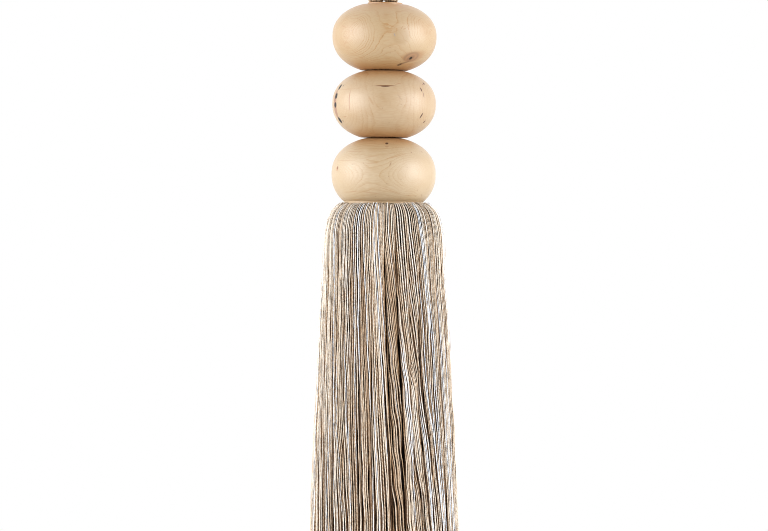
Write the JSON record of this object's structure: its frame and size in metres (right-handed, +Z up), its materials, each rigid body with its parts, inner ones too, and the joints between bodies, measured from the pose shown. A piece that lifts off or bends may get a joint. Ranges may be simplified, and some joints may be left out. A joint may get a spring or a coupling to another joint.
{
  "type": "beaded hanging tassel",
  "caption": "Hanging tassel: turned wooden beads stacked over a full skirt of cut spun yarn, carried by a twisted cord loop.",
  "frame": {"origin": "inside top of the hanging loop, where a hook, knob or tieback carries the tassel", "axes": "+Z up along the tassel's axis; -Y is the front; the loop lies in the XZ plane"},
  "size_m": [0.086, 0.086, 0.4041],
  "materials": {
    "bead_wood": "pale close-grained turned wood under a thin satin lacquer",
    "skirt_yarn": "mixed spun yarns in bluish white, cream, tan and taupe",
    "loop_cord": "three-ply laid cord of the same yarns"
  },
  "bodies": {
    "root": {"hanging_loop": "loop_cord", "bead_top": "bead_wood", "bead_middle": "bead_wood", "bead_bottom": "bead_wood", "skirt": "skirt_yarn"}
  },
  "joints": []
}
